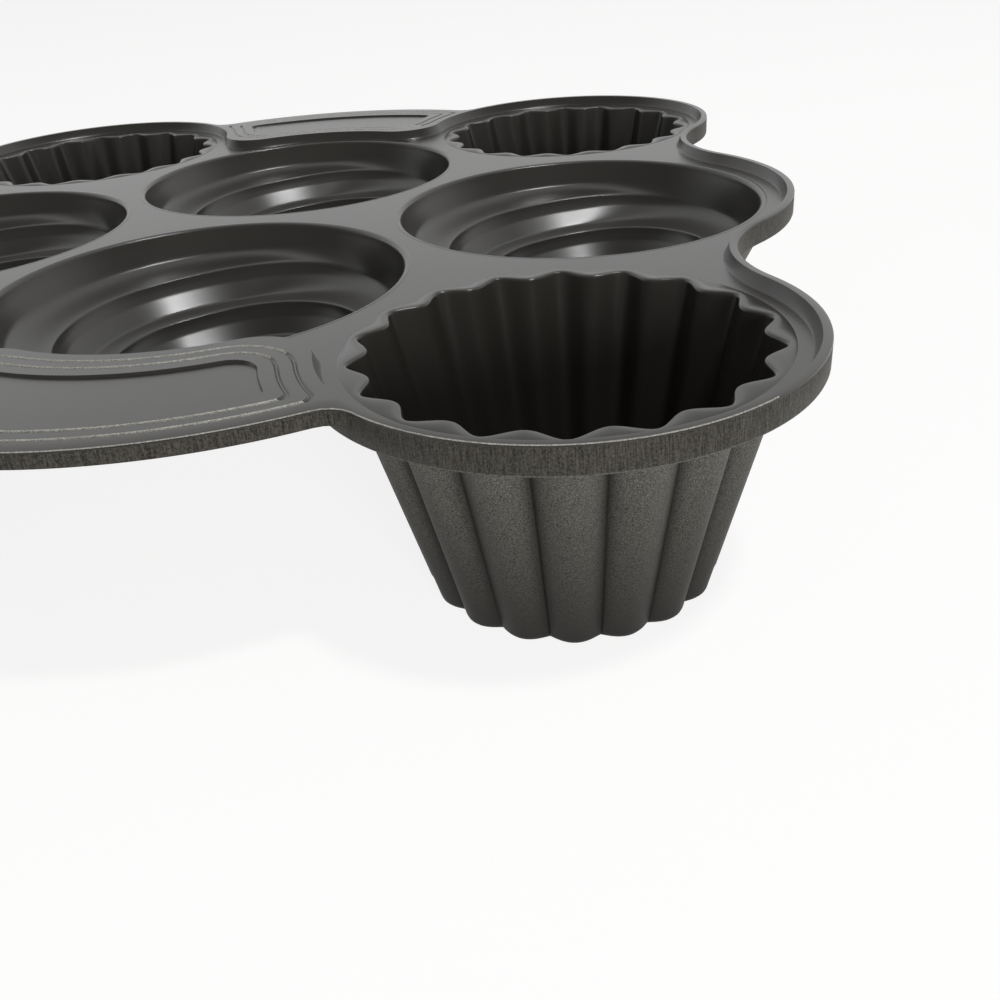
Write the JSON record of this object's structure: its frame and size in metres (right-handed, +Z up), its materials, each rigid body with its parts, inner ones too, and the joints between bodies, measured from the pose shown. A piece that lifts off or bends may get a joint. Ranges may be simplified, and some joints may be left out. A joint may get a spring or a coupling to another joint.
{
  "type": "fluted muffin pan",
  "caption": "Cast aluminium baking pan with deep fluted cups for cake bases, shallow spiral cups for the tops and a framed handle at each end",
  "frame": {"origin": "on the table under the middle of the pan", "axes": "+Z up out of the cups, +Y from the near handle to the far one, +X to the right"},
  "size_m": [0.3012, 0.3078, 0.0543],
  "materials": {
    "coated_casting": "satin non-stick coat"
  },
  "bodies": {
    "root": {"fluted_cup_front_right": "coated_casting", "fluted_cup_front_left": "coated_casting", "fluted_cup_back_right": "coated_casting", "fluted_cup_back_left": "coated_casting", "swirl_cup_front": "coated_casting", "swirl_cup_back": "coated_casting", "swirl_cup_right": "coated_casting", "swirl_cup_left": "coated_casting", "handle_front": "coated_casting", "handle_back": "coated_casting"}
  },
  "joints": []
}
